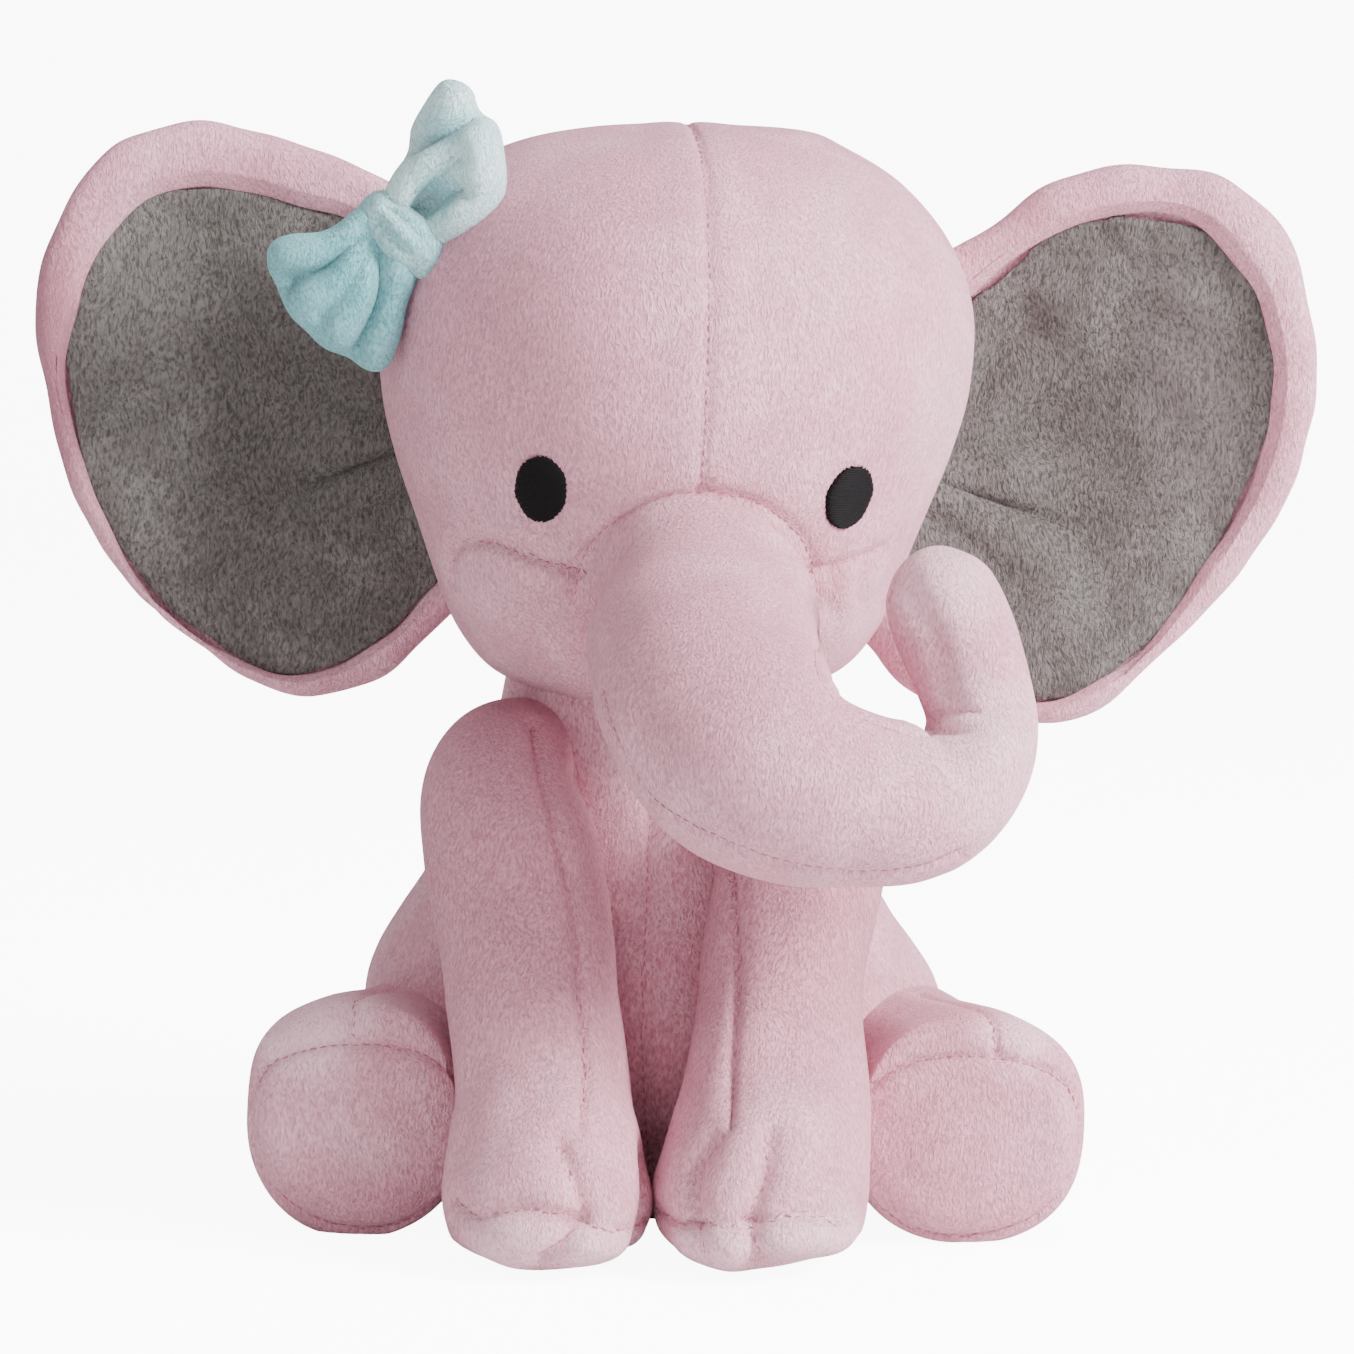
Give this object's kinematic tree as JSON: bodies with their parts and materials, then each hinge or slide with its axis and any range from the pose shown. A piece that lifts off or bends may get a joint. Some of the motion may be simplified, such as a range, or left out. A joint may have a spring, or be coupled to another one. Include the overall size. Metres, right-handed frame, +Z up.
{
  "type": "stuffed elephant",
  "caption": "Seated plush elephant with large lined ears, an upturned trunk, stitched eyes and a bow, sewn from panels round fibre fill, with soft joints at neck, ears, trunk, legs and tail.",
  "frame": {"origin": "on the flat seat face, straight under the middle of the head's depth", "axes": "+Z up, -Y the way the face looks, +X the toy's left"},
  "size_m": [0.2804, 0.2093, 0.2495],
  "materials": {
    "pink_plush": "short brushed pile, dusty pink",
    "grey_plush": "short brushed pile, warm grey",
    "mint_plush": "longer soft pile, pale mint",
    "black_thread": "satin-stitched thread",
    "fibre_fill": "white loose fibre",
    "label_satin": "plain white satin ribbon, blank"
  },
  "bodies": {
    "torso": {"back_panel_left": "pink_plush", "back_panel_right": "pink_plush", "belly_panel_left": "pink_plush", "belly_panel_right": "pink_plush", "care_label": "label_satin", "seat_panel": "pink_plush", "torso_fill": "fibre_fill"},
    "head": {"bow_knot": "mint_plush", "bow_loops": "mint_plush", "eye_left": "black_thread", "eye_right": "black_thread", "head_fill": "fibre_fill", "head_panel_left": "pink_plush", "head_panel_right": "pink_plush"},
    "ear_left": {"ear_left_back": "pink_plush", "ear_left_batting": "fibre_fill", "ear_left_lining": "grey_plush"},
    "ear_right": {"ear_right_back": "pink_plush", "ear_right_batting": "fibre_fill", "ear_right_lining": "grey_plush"},
    "trunk": {"trunk_fill": "fibre_fill", "trunk_top_panel": "pink_plush", "trunk_under_panel": "pink_plush"},
    "front_leg_left": {"front_leg_left_fill": "fibre_fill", "front_leg_left_inner": "pink_plush", "front_leg_left_outer": "pink_plush", "front_leg_left_sole": "pink_plush"},
    "front_leg_right": {"front_leg_right_fill": "fibre_fill", "front_leg_right_inner": "pink_plush", "front_leg_right_outer": "pink_plush", "front_leg_right_sole": "pink_plush"},
    "hind_leg_left": {"hind_leg_left_fill": "fibre_fill", "hind_leg_left_inner": "pink_plush", "hind_leg_left_outer": "pink_plush", "hind_leg_left_sole": "pink_plush"},
    "hind_leg_right": {"hind_leg_right_fill": "fibre_fill", "hind_leg_right_inner": "pink_plush", "hind_leg_right_outer": "pink_plush", "hind_leg_right_sole": "pink_plush"},
    "tail": {"tail_tube": "pink_plush", "tail_tuft": "pink_plush"}
  },
  "joints": [
    {"name": "neck_nod", "type": "hinge", "parent": "torso", "child": "head", "pos_m": [0, 0.012, 0.116], "axis": [1, 0, 0], "range_deg": [-6, 8], "stiffness_Nm_per_rad": 2},
    {"name": "trunk_lift", "type": "hinge", "parent": "head", "child": "trunk", "pos_m": [0.008, -0.054, 0.141], "axis": [-1, 0, 0], "range_deg": [-8, 12], "stiffness_Nm_per_rad": 0.6},
    {"name": "ear_left_flap", "type": "hinge", "parent": "head", "child": "ear_left", "pos_m": [0.071, 0.0035, 0.191], "axis": [0.1045, 0, 0.9945], "range_deg": [-20, 20], "stiffness_Nm_per_rad": 0.12},
    {"name": "ear_right_flap", "type": "hinge", "parent": "head", "child": "ear_right", "pos_m": [-0.064, 0.0035, 0.199], "axis": [0.1045, 0, -0.9945], "range_deg": [-20, 20], "stiffness_Nm_per_rad": 0.12},
    {"name": "front_leg_left_swing", "type": "hinge", "parent": "torso", "child": "front_leg_left", "pos_m": [0.033, -0.024, 0.092], "axis": [-1, 0, 0], "range_deg": [0, 20], "stiffness_Nm_per_rad": 0.5},
    {"name": "front_leg_right_swing", "type": "hinge", "parent": "torso", "child": "front_leg_right", "pos_m": [-0.033, -0.024, 0.092], "axis": [-1, 0, 0], "range_deg": [0, 20], "stiffness_Nm_per_rad": 0.5},
    {"name": "hind_leg_left_lift", "type": "hinge", "parent": "torso", "child": "hind_leg_left", "pos_m": [0.047, 0.014, 0.0255], "axis": [-0.9659, 0, 0.259], "range_deg": [0, 15], "stiffness_Nm_per_rad": 0.5},
    {"name": "hind_leg_right_lift", "type": "hinge", "parent": "torso", "child": "hind_leg_right", "pos_m": [-0.047, 0.014, 0.0255], "axis": [-0.9659, 0, -0.259], "range_deg": [0, 15], "stiffness_Nm_per_rad": 0.5},
    {"name": "tail_wag", "type": "hinge", "parent": "torso", "child": "tail", "pos_m": [0, 0.0718, 0.034], "axis": [0, 0, 1], "range_deg": [-25, 25], "stiffness_Nm_per_rad": 0.02}
  ]
}
